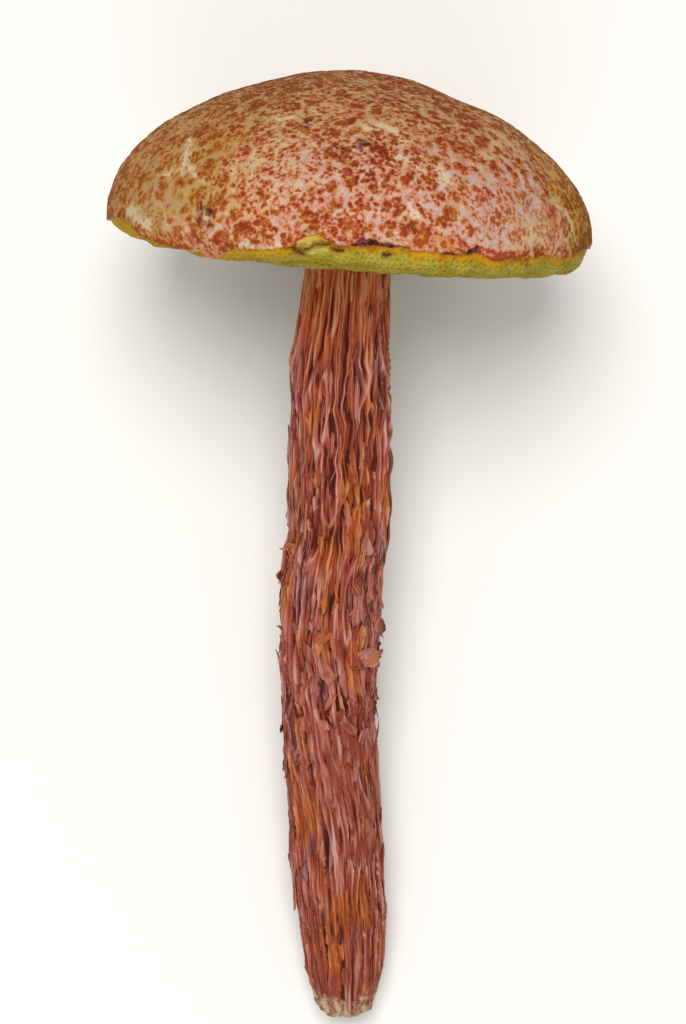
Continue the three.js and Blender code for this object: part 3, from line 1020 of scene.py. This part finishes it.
def grow_stem(bark, material):
    deselect()
    bpy.ops.mesh.primitive_circle_add(vertices=STEM_AROUND, radius=1, fill_type="NOTHING")
    stem = bpy.context.object
    apply_modifier(stem, "SCREW", angle=0, screw_offset=1, steps=STEM_RINGS, render_steps=STEM_RINGS,
                   use_merge_vertices=False)
    unit = points_of(stem)
    turn = np.degrees(np.arctan2(unit[:, 1], unit[:, 0])) % 360
    row = np.round(unit[:, 2] * STEM_RINGS).astype(int)
    column = np.round(turn / 360 * STEM_AROUND).astype(int) % STEM_AROUND
    height = bark.height[row]
    waver = 0.8 + 1.3 * smooth(90, 104, height) * smooth(152, 138, height)
    waver = waver * swell(stem_place(turn, height, 0), 5.5, 17)
    points = stem_place(turn + twist(height) + waver, height, bark.raised[row, column])
    outward = points - (0.4, 0, 5)
    outward /= np.linalg.norm(outward, axis=1, keepdims=True)
    knobs = (0.35 * swell(points, 3.2, 15) + 0.2 * swell(points, 1.3, 16)) * smooth(5, 1, height)
    move_points(stem, points + outward * knobs[:, None])
    remember(stem, "grown", points)
    remember(stem, "fibre", fibre_place(turn / 360 * STEM_GIRTH, height))
    for name, values in (("lift", bark.lift), ("tint", bark.tint), ("hue", bark.hue)):
        remember(stem, name, values[row, column])
    for piece, name in ((cut_foot(stem), "stem_foot"), (stem, "stem_core")):
        fill_ends(piece)
        lay_down(piece, STEM_LIES)
        finish_piece(piece, name, "stem_fibre", material, "stem")


def cut_foot(stem):
    """Cuts the foot off along a ring, with sharp edges so that the skin is shaded alike on both sides."""
    edit_faces(stem, middles_of(stem)[:, 2] < FOOT_HEIGHT)
    bpy.ops.mesh.separate(type="SELECTED")
    bpy.ops.object.mode_set(mode="OBJECT")
    foot = next(piece for piece in bpy.context.selected_objects if piece != stem)
    for piece in (stem, foot):
        edit(piece)
        bpy.ops.mesh.region_to_loop()
        bpy.ops.mesh.mark_sharp()
        bpy.ops.object.mode_set(mode="OBJECT")
    return foot


class Shreds:
    """Torn strips and flakes of skin that stand off the stem, in one mesh at the foot and one above."""

    def __init__(self, bark):
        self.bark = bark
        self.soft = bark.blurred(bark.raised, 2.5, 6)
        self.chance = np.random.default_rng(33)
        self.masters = [self.master(seed) for seed in range(6)]
        self.faces, self.low = [], []
        self.kept = {name: [] for name in ("grown", "fibre", "lift", "tint", "hue")}

    def master(self, seed):
        """A flat scrap of unit size: across -1 to 1, along 0 to 1 from its root, and a thin body."""
        deselect()
        bpy.ops.mesh.primitive_grid_add(x_subdivisions=3, y_subdivisions=6, size=2)
        scrap = bpy.context.object
        chance = np.random.default_rng(seed)
        flat = points_of(scrap)
        across, along = flat[:, 0].copy(), (flat[:, 1] + 1) / 2
        row = np.round(along * 6).astype(int)
        column = np.round((across + 1) * 1.5).astype(int)
        girth = np.interp(along, (0, 0.2, 0.6, 1), (0.4, 0.85, 1.0, 0.2 + 0.5 * chance.random()))
        side = 1 + 0.26 * chance.uniform(-1, 1, (7, 2))
        edge = np.where(across < 0, side[row, 0], side[row, 1])
        tooth = 1 - chance.uniform(0, 0.4, 4)[column] * smooth(0.5, 1, along)
        move_points(scrap, np.column_stack((across * girth * edge, along * tooth, 0 * along)))
        apply_modifier(scrap, "SOLIDIFY", thickness=1, offset=0)
        points = points_of(scrap)
        faces = [tuple(face.vertices) for face in scrap.data.polygons]
        rim = np.clip(np.abs(points[:, 0]) ** 2 + smooth(0.8, 1, points[:, 1]), 0, 1)
        bpy.data.objects.remove(scrap)
        return points, faces, rim

    def add(self, around, height, length, width, curl, lean=0.0, cup=0.0, start=0.3, up=True,
            tint=None, pale=0.0, hue=None):
        """One shred, from its root towards its free end, which curls off the stem by an angle."""
        chance = self.chance
        points, faces, rim = self.masters[chance.integers(len(self.masters))]
        along = points[:, 1]
        steps = np.linspace(0, 1, 24)
        rise = np.radians(curl) * smooth(start, 1.15, steps)
        run_out = np.concatenate(([0], np.cumsum(np.sin(rise[1:])) / 23)) * length
        run_on = np.concatenate(([0], np.cumsum(np.cos(rise[1:])) / 23)) * length
        out = np.interp(along, steps, run_out)
        on = np.interp(along, steps, run_on) * (1 if up else -1)
        across = (points[:, 0] + 0.4 * np.sin(along * 3.5 + chance.uniform(0, 6))) * width
        leaned = math.radians(lean)
        at_around = around + across * math.cos(leaned) + on * math.sin(leaned)
        at_height = height + on * math.cos(leaned) - across * math.sin(leaned)
        at_height = np.clip(at_height, -1.0, RIM_HEIGHT - 2.5)
        free = smooth(0.0, 0.7, along)
        hug = self.look_up(self.soft, at_around, at_height) * (1 - free)
        hug += self.look_up(self.soft, around, height) * free
        body = points[:, 2] * (0.3 - 0.2 * rim)
        sink = -0.25 * smooth(0.25, 0, along)
        phase = chance.uniform(0, 6, 2)
        crumple = np.sin(points[:, 0] * 3.2 + along * 4 + phase[0]) + 0.6 * np.sin(along * 11 + phase[1])
        crumple *= 0.12 * min(width, 1.6) * smooth(0, 0.4, along)
        raised = hug + 0.12 + sink + out + crumple + body
        raised += cup * width * points[:, 0] ** 2 * smooth(0, 0.4, along)
        turn = at_around / STEM_GIRTH * 360 + twist(at_height)
        own = chance.uniform(-2, 2)
        tint = chance.random() if tint is None else tint
        hue = self.look_up(self.bark.hue, around, height) if hue is None else hue
        # the colour level: higher towards the free end and at the edges, and lower on the side that faces
        # the stem, painted shade under the shred
        lift = 0.42 + 0.14 * along + 0.06 * rim + pale + 0.3 * points[:, 2]
        self.faces.append(faces)
        self.low.append(height < FOOT_SHREDS_HEIGHT)
        for name, values in (
            ("grown", stem_place(turn, at_height, raised)),
            ("fibre", fibre_place(around + across + own, height + along * length + own)),
            ("lift", np.clip(lift, 0, 1)),
            ("tint", np.full(len(points), tint)),
            ("hue", np.full(len(points), hue)),
        ):
            self.kept[name].append(values)

    def look_up(self, values, around, height):
        row = np.clip(np.searchsorted(self.bark.height, height), 0, len(self.bark.height) - 1)
        column = np.round(around / STEM_GIRTH * STEM_AROUND).astype(int) % STEM_AROUND
        return values[row, column]

    def scatter(self, count, heights, length, width, curl, lean=8.0, cup=(0.0, 0.5), start=(0.0, 0.5)):
        chance = self.chance
        for _ in range(count):
            around = chance.uniform(0, STEM_GIRTH)
            sizes = [chance.uniform(*limits) for limits in (heights, length, width, curl)]
            leaned = chance.normal() * lean
            cupped, started = chance.uniform(*cup), chance.uniform(*start)
            up = bool(chance.integers(2))
            self.add(around, *sizes, leaned, cupped, started, up, None, chance.uniform(-0.12, 0.12))

    def at(self, angle, height, *sizes, **how):
        """A shred whose root is at an angle round the stem. The sizes are length, width and curl."""
        self.add((angle - twist(height)) / 360 * STEM_GIRTH, height, *sizes, **how)

    def tear(self):
        # how many, and the limits of their height, length, width and curl
        self.scatter(45, (118, 160), (7, 16), (0.25, 0.55), (2, 9), 2, (0, 0.6))
        self.scatter(60, (90, 125), (5, 12), (0.3, 0.8), (3, 18), 4, (0.1, 0.6))
        self.scatter(90, (58, 108), (4, 10), (0.3, 0.8), (5, 30), 10, (0, 0.8))
        self.scatter(60, (56, 106), (3, 7), (0.7, 1.5), (10, 55), 14, (0, 0.8))
        self.scatter(60, (24, 66), (5, 12), (0.3, 0.9), (2, 14), 4, (0, 0.6))
        self.scatter(30, (6, 30), (3, 8), (0.3, 0.7), (2, 10), 4)
        self.scatter(90, (15, 150), (3, 9), (0.08, 0.15), (4, 20), 9, (0, 0))
        # the scraps that catch the eye
        self.at(205, 100.5, 5.4, 1.3, 95, lean=-90, up=True, cup=0.2, start=0.1, pale=0.15)
        self.at(190, 121, 6.0, 1.4, 25, up=True, start=0.0)
        self.at(192, 80, 5.0, 2.2, 70, up=True, pale=0.15)
        self.at(200, 93, 5.0, 1.6, 20, up=False)
        self.at(186, 55, 5.0, 1.9, 45, up=False)
        self.at(346, 102, 5.0, 1.8, 50, up=True, pale=0.1)
        self.at(347, 93, 6.0, 1.7, 45, up=False)
        self.at(306, 76, 8.6, 2.7, 40, lean=66, up=True, cup=0.4, start=0.3, pale=0.16, tint=0.8, hue=-0.2)
        self.at(330, 88, 6.5, 2.0, 40, lean=14, up=False, cup=0.7, pale=0.12)
        self.at(344, 72, 5.0, 1.7, 50, up=True)
        self.at(300, 95, 12.0, 2.0, 14, up=False, cup=0.5, start=0.4, pale=0.14, tint=0.3)
        self.at(316, 97, 9.0, 1.6, 30, up=False, cup=0.7, pale=0.1)
        self.at(260, 79, 8.0, 1.5, 16, up=False, lean=-6, cup=0.8, pale=0.16, tint=0.1)
        self.at(238, 112, 4.0, 0.6, 30, up=False, pale=0.5)
        self.at(294, 158, 9.0, 0.8, 2, up=False, cup=0.1, pale=0.6, tint=0.9)
        self.at(262, 98, 7.5, 0.16, 12, up=False, cup=0, pale=0.6)
        self.at(250, 50, 10.0, 0.14, 6, up=False, lean=-34, cup=0, pale=0.15)
        self.at(246, 119, 6.0, 1.0, 30, up=False, cup=0.8)
        self.at(272, 117, 6.0, 0.9, 40, up=False, cup=0.8, pale=0.1)
        self.at(285, 122, 8.0, 0.7, 20, up=False, lean=-8, pale=0.1)

    def build(self, low):
        """One mesh of the shreds that are rooted low on the stem, or of the others."""
        chosen = [index for index, is_low in enumerate(self.low) if is_low == low]
        faces, count = [], 0
        for index in chosen:
            faces.extend(tuple(corner + count for corner in face) for face in self.faces[index])
            count += len(self.kept["grown"][index])
        kept = {name: np.concatenate([rows[index] for index in chosen]) for name, rows in self.kept.items()}
        shreds = new_piece(kept["grown"].tolist(), faces)
        for name, values in kept.items():
            remember(shreds, name, values)
        return shreds


def grow_shreds(bark, material):
    shreds = Shreds(bark)
    shreds.tear()
    for low, name in ((True, "foot_shreds"), (False, "stem_shreds")):
        piece = shreds.build(low)
        lay_down(piece, STEM_LIES)
        finish_piece(piece, name, "stem_fibre", material, "stem")


def stem_material():
    material, nodes, shader = new_material("stem fibres")
    fibre = nodes.field("fibre", vector=True)
    height = nodes.add("ShaderNodeSeparateXYZ", {0: fibre}).outputs[2]
    threads = nodes.uneven(nodes.scaled(fibre, (1, 1, 0.07)), 0.6, 3.0)
    hairs = nodes.uneven(nodes.scaled(fibre, (1, 1, 0.05)), 0.24, 2.0)
    zones = nodes.noise(nodes.scaled(fibre, (1, 1, 0.3)), 5.0, 2.0)
    # how pale the fibres are, from the bark's level: low in hollows and high on crests, painted shade and
    # painted highlight
    level = nodes.sum(nodes.field("lift"), (threads, 1.2), (hairs, 0.7),
                      (nodes.math("SUBTRACT", nodes.field("tint"), 0.5), 0.22),
                      # raised near the top: painted light against the shade under the cap
                      nodes.step(height, 135.0, 160.0, 0.0, 0.18))
    hue = nodes.field("hue")
    # warmer near the top too: painted light against the cool shade under the cap
    warm = nodes.step(nodes.sum(zones, nodes.step(height, 120.0, 160.0, 0.0, 0.04), (hue, 0.16)), 0.5, 0.66)
    mauve = nodes.sum((hue, -1.0), (nodes.math("SUBTRACT", zones, 0.5), -1.2))
    mauve = nodes.step(mauve, 0.2, 0.8, 0.0, 0.75)
    # where the colours turn brighter towards the cap: painted light over the shade under the cap
    top = nodes.step(height, 130.0, 160.0)

    def shade(plain, amber, upper, cool):
        """One level's colour: plain or amber, a brighter one at the top as painted light against the shade
        under the cap, and cool in mauve patches.
        """
        return nodes.mix(mauve, nodes.mix(top, nodes.mix(warm, plain, amber), upper), cool)

    grey = nodes.noise(nodes.scaled(nodes.shifted(fibre, (9, 9, 9)), (1, 1, 0.3)), 3.0)
    grey = nodes.times(nodes.step(grey, 0.58, 0.72), nodes.step(height, 50.0, 90.0, 0.45, 0.15))
    grown = nodes.field("grown", vector=True)
    blotch = nodes.noise(grown, 1.4, 3.0)
    felt = nodes.step(nodes.sum(height, (zones, -10.0), (blotch, -8.0)), -8.0, -4.0, 1.0, 0.0)
    # from the bottom of the hollows to the crests, dark in the hollows as painted shade and pale on the
    # crests as painted highlight, brighter at the top as painted light under the cap, then greyed patches
    # and the foot's felt
    colour = nodes.coats(
        "48150A",
        (nodes.step(level, 0.1, 0.42), shade("8E3C28", "9C4418", "BC5428", "7C4442")),
        (nodes.step(level, 0.46, 0.78), shade("AE6654", "B66432", "D6764A", "9E6C6A")),
        (nodes.step(level, 0.72, 1.15), shade("C8948A", "CC8E5E", "DE9A6A", "BA9698")),
        (grey, "64404A"),
        (nodes.times(felt, 0.8), nodes.mix(nodes.step(blotch, 0.4, 0.6), "8E6848", "C4AE8E")),
    )
    fibrous = nodes.times(nodes.sum(threads, (hairs, 0.8)), nodes.math("SUBTRACT", 1.0, felt))
    fine = nodes.sum(fibrous, nodes.times(nodes.noise(grown, 0.5, 3.0), felt))
    finish_material(nodes, shader, colour, 0.75, 0.25, fine, 1.0, 0.0006)
    return material


# --- floor, lights and camera ----------------------------------------------------------------------
CAMERA_DISTANCE = 0.52
CAMERA_ABOVE_RIM = 8.6             # degrees that the view is raised above the rim plane
CAMERA_FIELD = 23.3                # degrees, along the picture's height
AIM_HEIGHT = 107.6                 # height on the upright stem that the camera looks at


def make_camera():
    data = bpy.data.cameras.new("camera")
    data.sensor_fit = "AUTO"
    data.angle = math.radians(CAMERA_FIELD)
    data.clip_start, data.clip_end = 0.01, 20
    camera = bpy.data.objects.new("camera", data)
    bpy.context.collection.objects.link(camera)
    elevation = math.radians(90 - LEAN + CAMERA_ABOVE_RIM)
    aim = STEM_LIES @ Vector((0, 0, AIM_HEIGHT))
    camera.location = aim + CAMERA_DISTANCE * Vector((0, -math.cos(elevation), math.sin(elevation)))
    camera.rotation_euler = (math.pi / 2 - elevation, 0, 0)
    bpy.context.scene.camera = camera


def soft_light(name, place, size, power, colour=(1, 1, 1)):
    data = bpy.data.lights.new(name, "AREA")
    data.shape = "DISK"
    data.size = size
    data.energy = power
    data.color = colour
    light = bpy.data.objects.new(name, data)
    bpy.context.collection.objects.link(light)
    light.location = place
    light.rotation_euler = (-Vector(place)).to_track_quat("-Z", "Y").to_euler()


def make_surroundings():
    deselect()
    bpy.ops.mesh.primitive_plane_add(size=12)
    floor = bpy.context.object
    floor.name = "floor"
    material, _, shader = new_material("pale floor")
    shader.inputs["Base Color"].default_value = paint("F2F0EC")
    shader.inputs["Roughness"].default_value = 0.9
    floor.data.materials.append(material)
    world = bpy.data.worlds.new("studio")
    bpy.context.scene.world = world
    world.use_nodes = True
    background = world.node_tree.nodes["Background"]
    background.inputs["Color"].default_value = (0.86, 0.88, 0.9, 1)
    background.inputs["Strength"].default_value = 0.46
    soft_light("key", (-0.05, 0.17, 0.84), 0.45, 5.1, (1, 0.98, 0.95))
    soft_light("fill", (0.0, -0.8, 0.55), 0.8, 3.3)


bark = Bark()
bark.grow()
grow_cap()
grow_pore_layer()
bark_material = stem_material()
grow_stem(bark, bark_material)
grow_shreds(bark, bark_material)
make_surroundings()
make_camera()
bpy.context.scene.view_settings.view_transform = "Standard"
